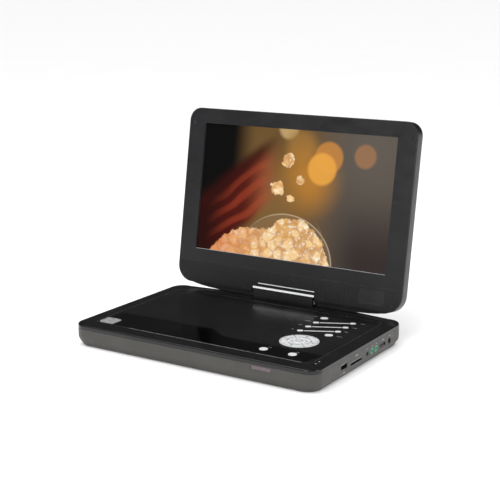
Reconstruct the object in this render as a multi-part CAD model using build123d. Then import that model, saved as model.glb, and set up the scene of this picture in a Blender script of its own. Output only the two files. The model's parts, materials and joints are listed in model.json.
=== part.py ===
from build123d import *
import math
import os

# Portable DVD player with a swivelling screen.
# Frame: millimetres, +X to the port side, -Y to the front edge, +Z up.
# The origin is the centre of the base footprint, on the plane its feet rest on.

# ---------------------------------------------------------------- driving sizes
BASE_W = 300.0             # width of the base
BASE_D = 198.0             # depth of the base
BASE_R = 15.0              # plan radius of the base corners
TOP_Z = 24.5               # top deck above the table
PART_Z = TOP_Z - 4.8       # parting line between the two shells
CREASE_Z = TOP_Z - 14.1    # front wall starts to lean in
SIDE_CREASE_Z = TOP_Z - 17.3
FOOT_H = 1.2
BOTTOM_IN = 3.5            # how far the underside sits inside the footprint
WALL = 2.2
PLATE = 2.4                # thickness of the top deck

PANEL_X = 133.6            # half width of the inner panel
PANEL_Y = 80.2             # half depth of the inner panel
PANEL_R = 7.0
LID_RIGHT = 47.0           # disc lid stops here, control panel starts
LID_T = 2.0
GAP = 0.4                  # visible gap round the moving lid

SCREEN_W = 297.0
SCREEN_H = 209.0
SCREEN_T = 15.0
BEZEL_T = 6.0              # depth of the front frame, the back shell is the rest
LEAN = 9.2                 # lean back of the open screen, degrees
SCREEN_Y = 93.0            # lower front edge of the open screen
SCREEN_Z = TOP_Z + 7.2
VIEW_W = 250.8             # visible opening of the display
VIEW_H = 150.2
VIEW_LOW = 41.1            # below the opening

TILT_B = 8.405             # tilt axis behind the screen's face
TILT_W = 4.0               # tilt axis above the screen's lower edge
SWIVEL_B = SCREEN_T / 2    # swivel axis behind the face
NOTCH_W = 84.2             # notch in the screen's lower edge for the hinge
NOTCH_H = 11.8
BLOCK_W = 82.4             # hinge block's front and top
CORE_X = 39.1              # half width of the block's foot, between the steel ears
BLOCK_R = 17.0             # its foot is an arc about the tilt axis
RUN = 0.05                 # radial clearance of a running fit

DISC_X = -43.5             # spindle axis
DISC_Y = 2.0
WELL_R = 62.0              # well for a 120 mm disc
WELL_Z = 17.5              # floor of the well

KEY_PROUD = 0.6            # rest height of a key, which is also its travel

os.makedirs("parts", exist_ok=True)


# ---------------------------------------------------------------- helpers
def save(name, solids):
    """Writes one node; a list becomes a group of separate solids."""
    shape = Compound(children=list(solids)) if isinstance(solids, (list, tuple)) else solids
    shape.label = name
    export_step(shape, f"parts/{name}.step")


def block(x0, x1, y0, y1, z0, z1):
    """Box between two corners."""
    centre = Pos((x0 + x1) / 2, (y0 + y1) / 2, (z0 + z1) / 2)
    return centre * Box(abs(x1 - x0), abs(y1 - y0), abs(z1 - z0))


def rod_z(x, y, r, z0, z1):
    return Pos(x, y, (z0 + z1) / 2) * Cylinder(r, z1 - z0)


def rod_x(y, z, r, x0, x1):
    return Pos((x0 + x1) / 2, y, z) * Rot(0, 90, 0) * Cylinder(r, x1 - x0)


def rod_y(x, z, r, y0, y1):
    return Pos(x, (y0 + y1) / 2, z) * Rot(90, 0, 0) * Cylinder(r, y1 - y0)


def slab(outline, z0, z1):
    """A flat outline in XY made solid from z0 to z1."""
    return extrude(Pos(0, 0, z0) * outline, amount=z1 - z0)


def round_rect(x0, x1, y0, y1, r):
    centre = Pos((x0 + x1) / 2, (y0 + y1) / 2)
    return centre * RectangleRounded(x1 - x0, y1 - y0, r)


def polygon(points):
    return make_face(Polyline(*points, close=True))


def edges_at(solid, z):
    """The edges that lie flat at one height."""
    def flat(edge):
        box = edge.bounding_box()
        return abs(box.min.Z - z) < 1e-3 and abs(box.max.Z - z) < 1e-3
    return solid.edges().filter_by(flat)


def in_screen(shape):
    """Moves a piece from the screen's own frame (X, depth, height) into place."""
    return Pos(0, SCREEN_Y, SCREEN_Z) * Rot(-LEAN, 0, 0) * shape


def screen_point(b, w):
    """Place in the YZ plane of a point b behind the face and w above the edge."""
    t = math.radians(LEAN)
    return (SCREEN_Y + b * math.cos(t) + w * math.sin(t),
            SCREEN_Z - b * math.sin(t) + w * math.cos(t))


TILT_Y, TILT_Z = screen_point(TILT_B, TILT_W)

SCREW_SPOTS = [(-136, -84), (136, -84), (-136, 84), (136, 84), (0, -88), (60, 88)]
FOOT_SPOTS = [(-126, -78), (126, -78), (-126, 78), (126, 78)]
INDICATOR_SPOTS = [(138.4, -77.5), (138.4, -70.5)]


# ---------------------------------------------------------------- base shells
def tub(inset, floor_z, top_z):
    """The base's outline below the parting line, drawn in by inset."""
    def section(z, dx, dy, r):
        return Pos(0, 0, z) * RectangleRounded(
            BASE_W - 2 * (inset + dx), BASE_D - 2 * (inset + dy), r - inset * 0.6)
    lean = BOTTOM_IN * (CREASE_Z - SIDE_CREASE_Z) / (CREASE_Z - FOOT_H)
    wall = extrude(section(CREASE_Z, 0, 0, BASE_R), amount=top_z - CREASE_Z)
    skirt = loft([section(SIDE_CREASE_Z, 0, lean, BASE_R), section(CREASE_Z, 0, 0, BASE_R)],
                 ruled=True)
    chin = loft([section(floor_z, BOTTOM_IN, BOTTOM_IN, BASE_R),
                 section(SIDE_CREASE_Z, 0, lean, BASE_R)], ruled=True)
    return wall + skirt + chin


HOUSING_X = 44.0           # half width of the hinge housing at the back
HOUSING_Y0 = 82.5
HOUSING_Y1 = 109.5
HOUSING_Z0 = 12.0
TROUGH_R = BLOCK_R + 0.5
TROUGH_X = 39.5
LIP = 6.0                  # the top shell's back edge stands out over the lower shell

USB_Y = -40.1
USB_Z = 12.8
CARD_Y = -13.4
CARD_Z = 10.3
PHONE_Y = 10.9
AV_Y = (22.2, 32.0)
JACK_Z = 11.8
SWITCH_Y0 = 40.8
SWITCH_Y1 = 53.6
DC_Y = 63.4
JACK_R = 3.4
IR_X0, IR_X1 = 77.3, 101.3
IR_Z0, IR_Z1 = TOP_Z - 10.4, TOP_Z - 5.8


def port_holes(slack):
    """Holes in the right wall, one for each socket."""
    x0, x1 = BASE_W / 2 - 6, BASE_W / 2 + 1
    cut = block(x0, x1, USB_Y - 6.55 - slack, USB_Y + 6.55 + slack,
                USB_Z - 2.85 - slack, USB_Z + 2.85 + slack)
    cut += block(x0, x1, CARD_Y - 12.5 - slack, CARD_Y + 12.5 + slack,
                 CARD_Z - 2.1 - slack, CARD_Z + 2.1 + slack)
    for y in (PHONE_Y,) + AV_Y + (DC_Y,):
        cut += rod_x(y, JACK_Z, JACK_R + slack, x0, x1)
    cut += block(x0, x1, SWITCH_Y0, SWITCH_Y1, JACK_Z - 1.9, JACK_Z + 1.9)
    return cut


def lower_shell():
    shell = tub(0, FOOT_H, PART_Z) - tub(WALL, FOOT_H + 2.0, PART_Z + 1)
    shell -= block(-HOUSING_X - 0.2, HOUSING_X + 0.2, 90, 110, HOUSING_Z0 - 0.2, PART_Z + 1)
    for x, y in SCREW_SPOTS:
        shell += rod_z(x, y, 4.0, FOOT_H + 1.5, PART_Z - 0.3)
    for x, y in SCREW_SPOTS:
        shell -= rod_z(x, y, 1.75, 0, PART_Z + 1)
        shell -= rod_z(x, y, 3.1, 0, 5.0)
    # cooling slots under the drive
    for i in range(9):
        x = DISC_X - 32 + 8 * i
        shell -= block(x - 1.5, x + 1.5, 30, 62, 0, 6)
    shell -= port_holes(0.12)
    shell -= block(IR_X0, IR_X1, -BASE_D / 2 - 1, -BASE_D / 2 + 3, IR_Z0, IR_Z1)
    # shadow groove along the parting line
    outline = RectangleRounded(BASE_W, BASE_D, BASE_R)
    inner = RectangleRounded(BASE_W - 1.2, BASE_D - 1.2, BASE_R - 0.6)
    shell -= slab(outline - inner, PART_Z - 0.5, PART_Z)
    return shell


def upper_shell():
    back = BASE_D / 2
    outline = RectangleRounded(BASE_W, BASE_D, BASE_R)
    outline += polygon([(-132, back - 5), (132, back - 5), (132, back), (105, back + LIP / 2),
                        (85, back + LIP), (-85, back + LIP), (-105, back + LIP / 2), (-132, back)])
    shell = slab(outline, PART_Z, TOP_Z)
    shell = fillet(edges_at(shell, TOP_Z), 1.8)
    inside = RectangleRounded(BASE_W - 2 * WALL, BASE_D - 2 * WALL, BASE_R - WALL)
    shell -= slab(inside, PART_Z - 1, TOP_Z - PLATE)
    shell -= slab(RectangleRounded(2 * PANEL_X + 2 * GAP, 2 * PANEL_Y + 2 * GAP, PANEL_R + GAP),
                  TOP_Z - PLATE - 1, TOP_Z + 1)
    # ledge that carries the control panel
    ledge = round_rect(LID_RIGHT + 4, PANEL_X + 3, -PANEL_Y - 3, PANEL_Y + 3, PANEL_R)
    ledge -= round_rect(LID_RIGHT + 6, PANEL_X - 3, -PANEL_Y + 3, PANEL_Y - 3, PANEL_R - 3)
    shell += slab(ledge, TOP_Z - PLATE - 1.4, TOP_Z - PLATE)
    # pillars over the case screws
    for x, y in SCREW_SPOTS:
        shell += rod_z(x, y, 3.6, PART_Z - 0.3, TOP_Z - PLATE)
        shell -= rod_z(x, y, 1.6, PART_Z - 1, TOP_Z - PLATE - 0.6)
    # hinge housing with its trough
    housing = block(-HOUSING_X, HOUSING_X, HOUSING_Y0, HOUSING_Y1, HOUSING_Z0, TOP_Z)
    housing = fillet(housing.edges().filter_by(Axis.X).sort_by(Axis.Y)[-2:], 5.0)
    hollow = block(-HOUSING_X + 3, HOUSING_X - 3, HOUSING_Y0 - 1, 96, HOUSING_Z0 - 1, HOUSING_Z0 + 2)
    shell += housing - hollow
    shell -= rod_x(TILT_Y, TILT_Z, TROUGH_R, -TROUGH_X, TROUGH_X)
    # the lid's pins turn in the left edge of the opening
    shell -= rod_x(LID_AXIS_Y, LID_AXIS_Z, LID_PIN_R + RUN, -PANEL_X - 5, -PANEL_X + 4)
    for x, y in INDICATOR_SPOTS:
        shell -= rod_z(x, y, 0.9, TOP_Z - PLATE - 1, TOP_Z + 1)
    for side in (-1, 1):
        shell -= bracket(side)
    return shell


EAR_X0, EAR_X1 = TROUGH_X, 41.2
EAR_R = 4.2


def bracket(side):
    """Steel ear on one side of the hinge block, without its pin hole."""
    x0, x1 = sorted((side * EAR_X0, side * EAR_X1))
    low = HOUSING_Z0 + 1.8 - TILT_Z
    # the leg drops behind the axis, clear of the block's front plate as it folds down
    side_view = polygon([(-1.5, -3.0), (2.2, -8.5), (2.2, low), (6.2, low), (6.2, -8.5), (3.5, -1.5)])
    leg = Pos(x0, TILT_Y, TILT_Z) * (Plane.YZ * extrude(side_view, amount=x1 - x0))
    foot = block(x0, x1, 86, TILT_Y + 3.0, HOUSING_Z0 + 1.8, HOUSING_Z0 + 4.4)
    return rod_x(TILT_Y, TILT_Z, EAR_R, x0, x1) + leg + foot


def hinge_brackets():
    ears = []
    for side in (-1, 1):
        x0, x1 = sorted((side * (EAR_X0 - 1), side * (EAR_X1 + 1)))
        ears.append(bracket(side) - rod_x(TILT_Y, TILT_Z, PIN_R + RUN, x0, x1))
    return ears


# ---------------------------------------------------------------- disc lid and deck
LID_PIN_R = 0.7
LID_AXIS_Y = PANEL_Y - 1.6
LID_AXIS_Z = TOP_Z - 1.1
STRIP_T = 0.8
STRIP_PROUD = 0.1
STRIP_FRONT = -79.4
STRIP_BACK_L = -36.2
STRIP_BACK_R = -52.0


def lid_strip_outline():
    return polygon([(-108.4, STRIP_FRONT), (LID_RIGHT - GAP - 0.1, STRIP_FRONT),
                    (LID_RIGHT - GAP - 0.1, STRIP_BACK_R), (14.5, STRIP_BACK_R),
                    (-8.5, STRIP_BACK_L), (-128, STRIP_BACK_L), (-128, -57.6),
                    (-108.4, -57.6)])


def panel_strip_outline():
    return polygon([(LID_RIGHT + 0.4, STRIP_FRONT), (126.7, STRIP_FRONT + 0.6),
                    (132.2, STRIP_BACK_R), (LID_RIGHT + 0.4, STRIP_BACK_R)])


BADGE = (-130.8, -111.2, -78.8, -60.4)


def disc_lid():
    plate = round_rect(-PANEL_X, LID_RIGHT - GAP, -PANEL_Y, LID_AXIS_Y + 0.9, PANEL_R)
    plate += round_rect(0, LID_RIGHT - GAP, -PANEL_Y, LID_AXIS_Y + 0.9, 0.8)
    # the corner beside the left pin is rounder, so that it clears the opening as it swings
    plate &= round_rect(-PANEL_X, LID_RIGHT + 20, -PANEL_Y - 20, LID_AXIS_Y + 0.9, PANEL_R + 2)
    lid = slab(plate, TOP_Z - LID_T, TOP_Z)
    lid -= slab(lid_strip_outline(), TOP_Z - STRIP_T, TOP_Z + 1)
    # lug that drops into the catch
    lid += block(36, 40, -78.4, -77.0, TOP_Z - LID_T - 3.0, TOP_Z - LID_T)
    lid -= rod_x(LID_AXIS_Y, LID_AXIS_Z, LID_PIN_R, -PANEL_X - 1, -PANEL_X + 6)
    lid -= rod_x(LID_AXIS_Y, LID_AXIS_Z, LID_PIN_R, LID_RIGHT - 6, LID_RIGHT)
    return lid


def disc_deck():
    """Moulded deck under the lid with the well for the disc."""
    x0, x1 = -PANEL_X - 3, LID_RIGHT + 3
    y1 = PANEL_Y + 2
    top = TOP_Z - PLATE
    deck = slab(round_rect(x0, x1, -y1, y1, 4), top - 1.4, top)
    deck += rod_z(DISC_X, DISC_Y, WELL_R + 1.6, WELL_Z - 1.0, top)
    deck -= rod_z(DISC_X, DISC_Y, WELL_R, WELL_Z, top + 1)
    # thumb reliefs on both sides of the well
    for side in (-1, 1):
        x = DISC_X + side * WELL_R
        deck -= rod_z(x, DISC_Y, 13, top - 0.9, top + 1)
    deck -= rod_z(DISC_X, DISC_Y, 15.6, WELL_Z - 2, WELL_Z + 1)
    # slot for the pickup lens
    deck -= block(DISC_X - 12, DISC_X + 12, DISC_Y - 60.5, DISC_Y, WELL_Z - 2, WELL_Z + 1)
    deck -= block(DISC_X - 4, DISC_X + 4, DISC_Y - 61.7, DISC_Y, WELL_Z - 2, WELL_Z + 1)
    # relief behind the lid's hinge, and the hole for the lug with its spring tongue
    deck -= block(-PANEL_X - 1, LID_RIGHT, LID_AXIS_Y - 1.9, LID_AXIS_Y + 1.9, top - 0.7, top + 1)
    deck -= block(35, 41, -79.6, -75.0, top - 3, top + 1)
    deck += block(36, 40, -75.0, -74.2, top - 4.6, top - 1.4)
    for x, y in SCREW_SPOTS:
        deck -= rod_z(x, y, 3.9, 0, TOP_Z)
    return deck


def lid_pins():
    left = rod_x(LID_AXIS_Y, LID_AXIS_Z, LID_PIN_R, -PANEL_X - 3, -PANEL_X + 6)
    right = rod_x(LID_AXIS_Y, LID_AXIS_Z, LID_PIN_R, LID_RIGHT - 6, LID_RIGHT + 3)
    return [left, right]


# ---------------------------------------------------------------- control panel and keys
PAD_X, PAD_Y = 89.6, -24.2
PAD_R = 20.6
OK_R = 7.2
STRIP_KEYS = {"play_key": (71.9, -65.5), "stop_key": (105.2, -65.0)}
BAR_LEFT_X, BAR_RIGHT_X = 72.2, 107.8
BAR_LEFT_Y = (8.2, 25.4, 42.6)
BAR_RISE = 17.7
OVAL_KEYS = {"menu_key": (72.0, 61.6), "setup_key": (105.6, 9.9)}


def pair_keys():
    """The small keys at both ends of the three slanted bars."""
    names = ("volume_down_key", "previous_key", "zoom_key")
    mates = ("volume_up_key", "next_key", "mode_key")
    spots = {}
    for y, name, mate in zip(BAR_LEFT_Y, names, mates):
        spots[name] = (BAR_LEFT_X, y)
        spots[mate] = (BAR_RIGHT_X, y + BAR_RISE)
    return spots


BAR_ANGLE = math.degrees(math.atan2(BAR_RISE, BAR_RIGHT_X - BAR_LEFT_X))


def key_outline(kind, grow=0.0):
    """Cap outline of one kind of key, centred on the origin."""
    if kind == "round":
        return Circle(4.5 + grow)
    length, width = (8.6, 6.0) if kind == "oval" else (6.6, 4.2)
    return Rot(0, 0, BAR_ANGLE) * SlotOverall(length + 2 * grow, width + 2 * grow)


def all_small_keys():
    keys = {name: ("pair", spot) for name, spot in pair_keys().items()}
    keys.update({name: ("oval", spot) for name, spot in OVAL_KEYS.items()})
    keys.update({name: ("round", spot) for name, spot in STRIP_KEYS.items()})
    return keys


KEY_FLANGE_Z = TOP_Z - PLATE - 0.4


def small_key(kind, spot):
    here = Pos(*spot)
    cap = slab(here * key_outline(kind), KEY_FLANGE_Z - 0.9, TOP_Z + KEY_PROUD)
    cap = fillet(edges_at(cap, TOP_Z + KEY_PROUD), 0.45)
    flange = slab(here * key_outline(kind, 0.9), KEY_FLANGE_Z - 0.9, KEY_FLANGE_Z)
    return cap + flange + rod_z(spot[0], spot[1], 1.4, KEY_FLANGE_Z - 2.2, KEY_FLANGE_Z - 0.9)


def pad_segment(turn):
    """One quarter of the direction ring; turn 0 is the right-hand one."""
    def quarter(r_in, r_out):
        reach = 2 * PAD_R
        wedge = polygon([(0.75, 0), (reach, reach - 0.75), (reach, 0.75 - reach)])
        return (Circle(r_out) - Circle(r_in)) & wedge
    here = Pos(PAD_X, PAD_Y) * Rot(0, 0, turn)
    cap = slab(here * quarter(OK_R + 0.8, PAD_R), KEY_FLANGE_Z - 0.9, TOP_Z + KEY_PROUD)
    cap = fillet(edges_at(cap, TOP_Z + KEY_PROUD), 0.4)
    flange = slab(here * quarter(PAD_R - 1.0, PAD_R + 1.2), KEY_FLANGE_Z - 0.9, KEY_FLANGE_Z)
    a = math.radians(turn)
    x = PAD_X + 14 * math.cos(a)
    y = PAD_Y + 14 * math.sin(a)
    return cap + flange + rod_z(x, y, 1.4, KEY_FLANGE_Z - 2.2, KEY_FLANGE_Z - 0.9)


def ok_key():
    cap = rod_z(PAD_X, PAD_Y, OK_R, KEY_FLANGE_Z - 0.9, TOP_Z + KEY_PROUD + 0.2)
    cap = fillet(edges_at(cap, TOP_Z + KEY_PROUD + 0.2), 0.6)
    return cap + rod_z(PAD_X, PAD_Y, 1.4, KEY_FLANGE_Z - 2.2, KEY_FLANGE_Z - 0.9)


def bar_outline(y, grow=0.0):
    """Slanted bar between two paired keys, short of both."""
    middle = Pos((BAR_LEFT_X + BAR_RIGHT_X) / 2, y + BAR_RISE / 2)
    full = math.hypot(BAR_RISE, BAR_RIGHT_X - BAR_LEFT_X)
    return middle * Rot(0, 0, BAR_ANGLE) * Rectangle(full - 8.0 + 2 * grow, 2.0 + 2 * grow)


def control_panel():
    outline = round_rect(LID_RIGHT, PANEL_X, -PANEL_Y, PANEL_Y, PANEL_R)
    outline += round_rect(LID_RIGHT, LID_RIGHT + 30, -PANEL_Y, PANEL_Y, 0.8)
    panel = slab(outline, TOP_Z - PLATE, TOP_Z)
    panel -= slab(panel_strip_outline(), TOP_Z - STRIP_T, TOP_Z + 1)
    for kind, spot in all_small_keys().values():
        panel -= slab(Pos(*spot) * key_outline(kind, 0.3), TOP_Z - PLATE - 1, TOP_Z + 1)
    panel -= rod_z(PAD_X, PAD_Y, PAD_R + 0.4, TOP_Z - PLATE - 1, TOP_Z + 1)
    for y in BAR_LEFT_Y:
        panel -= slab(bar_outline(y), TOP_Z - 0.4, TOP_Z + 1)
    panel -= rod_x(LID_AXIS_Y, LID_AXIS_Z, LID_PIN_R + RUN, LID_RIGHT - 1, LID_RIGHT + 4)
    return panel


def panel_strip():
    strip = slab(panel_strip_outline(), TOP_Z - STRIP_T, TOP_Z + STRIP_PROUD)
    for name, spot in STRIP_KEYS.items():
        strip -= slab(Pos(*spot) * key_outline("round", 0.3), TOP_Z - 2, TOP_Z + 1)
    return strip


def key_board():
    board = block(60, 120, -73, 72, TOP_Z - PLATE - 5.1, TOP_Z - PLATE - 3.9)
    spots = [spot for kind, spot in all_small_keys().values()] + [(PAD_X, PAD_Y)]
    for turn in range(0, 360, 90):
        a = math.radians(turn)
        spots.append((PAD_X + 14 * math.cos(a), PAD_Y + 14 * math.sin(a)))
    for x, y in spots:
        board += rod_z(x, y, 2.4, TOP_Z - PLATE - 3.9, TOP_Z - PLATE - 3.5)
    return board


# ---------------------------------------------------------------- disc drive
FRAME_Z0, FRAME_Z1 = 6.0, 7.4
ROD_X = 22.0               # guide rods, either side of the spindle
ROD_Z = 11.4
ROD_R = 1.5
ROD_Y0, ROD_Y1 = DISC_Y - 78.0, DISC_Y - 12.5
SCREW_X = DISC_X + 31.0
LENS_Y = DISC_Y - 28.0     # pickup at its innermost track
SLED_TRAVEL = 30.0


def drive_frame():
    frame = slab(round_rect(DISC_X - 40, DISC_X + 40, DISC_Y - 82, DISC_Y + 18, 5),
                 FRAME_Z0, FRAME_Z1)
    frame -= slab(round_rect(DISC_X - 18, DISC_X + 18, DISC_Y - 74, DISC_Y - 14, 3),
                  FRAME_Z0 - 1, FRAME_Z1 + 1)
    for x in (DISC_X - ROD_X, DISC_X + ROD_X):
        for y in (ROD_Y0, ROD_Y1 - 3):
            post = block(x - 3, x + 3, y, y + 3, FRAME_Z1, ROD_Z + 2.6)
            frame += post - rod_y(x, ROD_Z, ROD_R, y - 1, y + 4)
    post = block(SCREW_X - 3, SCREW_X + 3, DISC_Y - 78, DISC_Y - 75, FRAME_Z1, ROD_Z + 2.6)
    frame += post - rod_y(SCREW_X, ROD_Z, ROD_R + RUN, DISC_Y - 80, DISC_Y - 70)
    for x in (DISC_X - 35, DISC_X + 35):
        for y in (DISC_Y - 77, DISC_Y + 13):
            frame -= rod_z(x, y, 2.0, FRAME_Z0 - 1, FRAME_Z1 + 1)
    return frame


def drive_dampers():
    cups = []
    for x in (DISC_X - 35, DISC_X + 35):
        for y in (DISC_Y - 77, DISC_Y + 13):
            cups.append(rod_z(x, y, 3.6, FOOT_H + 2.0, FRAME_Z0) + rod_z(x, y, 2.0, FRAME_Z0, FRAME_Z1))
    return cups


def guide_rods():
    return [rod_y(DISC_X + side * ROD_X, ROD_Z, ROD_R, ROD_Y0, ROD_Y1) for side in (-1, 1)]


def spindle_motor():
    can = rod_z(DISC_X, DISC_Y, 10.5, FRAME_Z1, 13.6)
    can = fillet(edges_at(can, 13.6), 0.8)
    return can + rod_z(DISC_X, DISC_Y, 1.0, 13.6, WELL_Z + 1.2)


def turntable():
    hub = rod_z(DISC_X, DISC_Y, 5.0, 14.2, WELL_Z + 1.0)
    hub += rod_z(DISC_X, DISC_Y, 14.0, WELL_Z + 1.0, WELL_Z + 2.2)
    boss = rod_z(DISC_X, DISC_Y, 7.4, WELL_Z + 2.2, WELL_Z + 4.3)
    hub += chamfer(edges_at(boss, WELL_Z + 4.3), 0.9)
    for i in range(3):
        a = math.radians(120 * i)
        hub += Pos(DISC_X + 6.6 * math.cos(a), DISC_Y + 6.6 * math.sin(a), WELL_Z + 3.1) * Sphere(1.0)
    return hub - rod_z(DISC_X, DISC_Y, 1.0 + RUN, 13, WELL_Z + 1.6)


def pickup_sled():
    sled = block(DISC_X - 26, DISC_X + 26, LENS_Y - 12, LENS_Y + 12, 8.9, 14.6)
    sled -= block(DISC_X - 30, DISC_X - 17, LENS_Y - 7, LENS_Y + 7, 8, 16)
    for side in (-1, 1):
        sled -= rod_y(DISC_X + side * ROD_X, ROD_Z, ROD_R + RUN, LENS_Y - 20, LENS_Y + 20)
    # arm beside the feed screw
    sled += block(DISC_X + 26, SCREW_X - 2.2, LENS_Y - 4, LENS_Y + 4, 10, 13)
    return sled


def pickup_lens():
    ring = rod_z(DISC_X, LENS_Y, 6.0, 14.6, 16.2)
    return ring + rod_z(DISC_X, LENS_Y, 3.2, 16.2, WELL_Z - 0.3)


def feed_screw():
    screw = rod_y(SCREW_X, ROD_Z, ROD_R, DISC_Y - 78, DISC_Y - 14.5)
    for i in range(16):
        y = DISC_Y - 70 + 3.2 * i
        ring = rod_y(SCREW_X, ROD_Z, ROD_R + 1, y, y + 1.2) - rod_y(SCREW_X, ROD_Z, ROD_R - 0.3, y, y + 1.2)
        screw -= ring
    return screw


def feed_motor():
    motor = rod_y(SCREW_X, ROD_Z, 4.0, DISC_Y - 14, DISC_Y)
    return motor + block(SCREW_X - 4, SCREW_X + 4, DISC_Y - 12, DISC_Y - 2, FRAME_Z1, ROD_Z)


# ---------------------------------------------------------------- boards, power and sockets
BOARD_Z0, BOARD_Z1 = 5.4, 7.0


def main_board():
    board = block(4, 143, -84, 76, BOARD_Z0, BOARD_Z1)
    board -= block(-1, 56, -90, 26, 0, 20)
    for x, y in SCREW_SPOTS:
        board -= rod_z(x, y, 5.0, 0, 20)
    for x, y, w, d, h in ((84, -20, 24, 24, 1.6), (84, 22, 14, 20, 1.2), (70, 52, 12, 8, 3.4),
                          (100, 52, 9, 9, 4.2), (24, 52, 26, 12, 2.4), (110, -48, 10, 16, 1.2)):
        board += block(x - w / 2, x + w / 2, y - d / 2, y + d / 2, BOARD_Z1, BOARD_Z1 + h)
    # tongue that holds the remote control's receiver behind its window
    board += block(84, 94, -94, -84, BOARD_Z0, BOARD_Z1)
    return board + block(86, 92, -94, -91, BOARD_Z1, 19)


def battery_pack():
    pack = block(-141, -89, -62, 62, FOOT_H + 2.2, 12.4)
    return fillet(pack.edges().filter_by(Axis.Y), 3.0)


WALL_X = BASE_W / 2


def usb_socket():
    can = block(WALL_X - 14, WALL_X - 0.3, USB_Y - 6.55, USB_Y + 6.55, USB_Z - 2.85, USB_Z + 2.85)
    can -= block(WALL_X - 13.4, WALL_X, USB_Y - 6.2, USB_Y + 6.2, USB_Z - 2.5, USB_Z + 2.5)
    tongue = block(WALL_X - 14, WALL_X - 2.2, USB_Y - 5.6, USB_Y + 5.6, USB_Z + 0.6, USB_Z + 2.3)
    return can + tongue


def card_socket():
    can = block(WALL_X - 26, WALL_X - 0.3, CARD_Y - 12.5, CARD_Y + 12.5, CARD_Z - 2.1, CARD_Z + 2.1)
    return can - block(WALL_X - 25, WALL_X, CARD_Y - 12.1, CARD_Y + 12.1, CARD_Z - 1.4, CARD_Z + 1.4)


def round_jack(y, bore, depth):
    body = rod_x(y, JACK_Z, JACK_R, WALL_X - depth - 1.5, WALL_X - 0.2)
    body += block(WALL_X - depth - 1.5, WALL_X - 4, y - 3.4, y + 3.4, BOARD_Z1, JACK_Z)
    return body - rod_x(y, JACK_Z, bore, WALL_X - depth, WALL_X + 1)


def dc_jack():
    return round_jack(DC_Y, 2.8, 9.5) + rod_x(DC_Y, JACK_Z, 0.65, WALL_X - 10, WALL_X - 1.4)


def power_switch():
    return block(WALL_X - 11, WALL_X - WALL - 1.2, SWITCH_Y0 - 2, SWITCH_Y1 + 2, BOARD_Z1, JACK_Z + 3)


def switch_knob():
    y0, y1 = SWITCH_Y0 + 0.4, SWITCH_Y0 + 6.8
    knob = block(WALL_X - 3.1, WALL_X + 0.5, y0, y1, JACK_Z - 1.55, JACK_Z + 1.55)
    for i in range(3):
        y = y0 + 1.8 + 1.4 * i
        knob -= block(WALL_X + 0.1, WALL_X + 1, y - 0.3, y + 0.3, JACK_Z - 2, JACK_Z + 2)
    return knob


def ir_window():
    y = -BASE_D / 2
    return block(IR_X0, IR_X1, y + 0.2, y + WALL, IR_Z0, IR_Z1)


def case_screws():
    return [rod_z(x, y, 1.5, 5.0, TOP_Z - PLATE - 1.0) + rod_z(x, y, 2.8, 3.4, 5.0) - block(
        x - 1.8, x + 1.8, y - 0.35, y + 0.35, 3.0, 4.1) for x, y in SCREW_SPOTS]


def rubber_feet():
    return [chamfer(edges_at(rod_z(x, y, 6.5, 0, FOOT_H), 0), 0.4) for x, y in FOOT_SPOTS]


def indicator_lenses():
    return [rod_z(x, y, 0.9, TOP_Z - PLATE - 0.6, TOP_Z + 0.1) for x, y in INDICATOR_SPOTS]


def badge():
    x0, x1, y0, y1 = BADGE
    plate = polygon([(x0 + 3, y0), (x1, y0), (x1, y1 - 3), (x1 - 3, y1), (x0, y1), (x0, y0 + 3)])
    return slab(plate, TOP_Z, TOP_Z + 0.15)


# ---------------------------------------------------------------- hinge block
PIN_R = 2.0
POST_R = 4.0
BLOCK_FRONT = 0.5          # block's face behind the screen's face
BLOCK_BACK = 15.4
BLOCK_TOP = NOTCH_H - 0.6


def hinge_block():
    """Turned foot between the ears, with a front and a top plate that cover them."""
    body = rod_x(TILT_B, TILT_W, BLOCK_R, -CORE_X, CORE_X)
    body &= block(-BLOCK_W, BLOCK_W, BLOCK_FRONT, BLOCK_BACK, -BLOCK_R, BLOCK_TOP)
    body += block(-BLOCK_W / 2, BLOCK_W / 2, BLOCK_FRONT, BLOCK_FRONT + 1.5, 3.8, BLOCK_TOP)
    body += block(-BLOCK_W / 2, BLOCK_W / 2, BLOCK_FRONT, 14.0, 9.5, BLOCK_TOP)
    body -= rod_z(0, SWIVEL_B, POST_R + RUN, -5.6, NOTCH_H)
    for side in (-1, 1):
        x0, x1 = sorted((side * 28, side * (CORE_X + 1)))
        body -= rod_x(TILT_B, TILT_W, PIN_R, x0, x1)
    for bar in trim_bars():
        body -= bar
    return in_screen(body)


def trim_bars():
    """The bright bar across the block and the thin line along its top edge."""
    return [block(-40.7, 40.7, BLOCK_FRONT - 0.3, BLOCK_FRONT + 0.8, 4.5, 6.7),
            block(-34.2, 40.7, BLOCK_FRONT - 0.1, BLOCK_FRONT + 0.5, BLOCK_TOP - 0.9, BLOCK_TOP - 0.1)]


def tilt_pins():
    return [in_screen(rod_x(TILT_B, TILT_W, PIN_R, *sorted((side * 28, side * (EAR_X1 + 0.3)))))
            for side in (-1, 1)]


def swivel_post():
    post = rod_z(0, SWIVEL_B, POST_R, -5.2, 24)
    collar = rod_z(0, SWIVEL_B, 8.0, NOTCH_H + 2.2, NOTCH_H + 3.6)
    post += collar & block(-9, 9, 2.6, 10.6, 0, 30)
    post += block(-26, 26, SWIVEL_B + 2.6, SWIVEL_B + 4.2, NOTCH_H + 2.2, 25)
    return in_screen(post - rod_z(0, SWIVEL_B, 2.6, -6, 26))


# ---------------------------------------------------------------- screen
TOP_R = 15.0
LOW_R = 20.0


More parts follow.
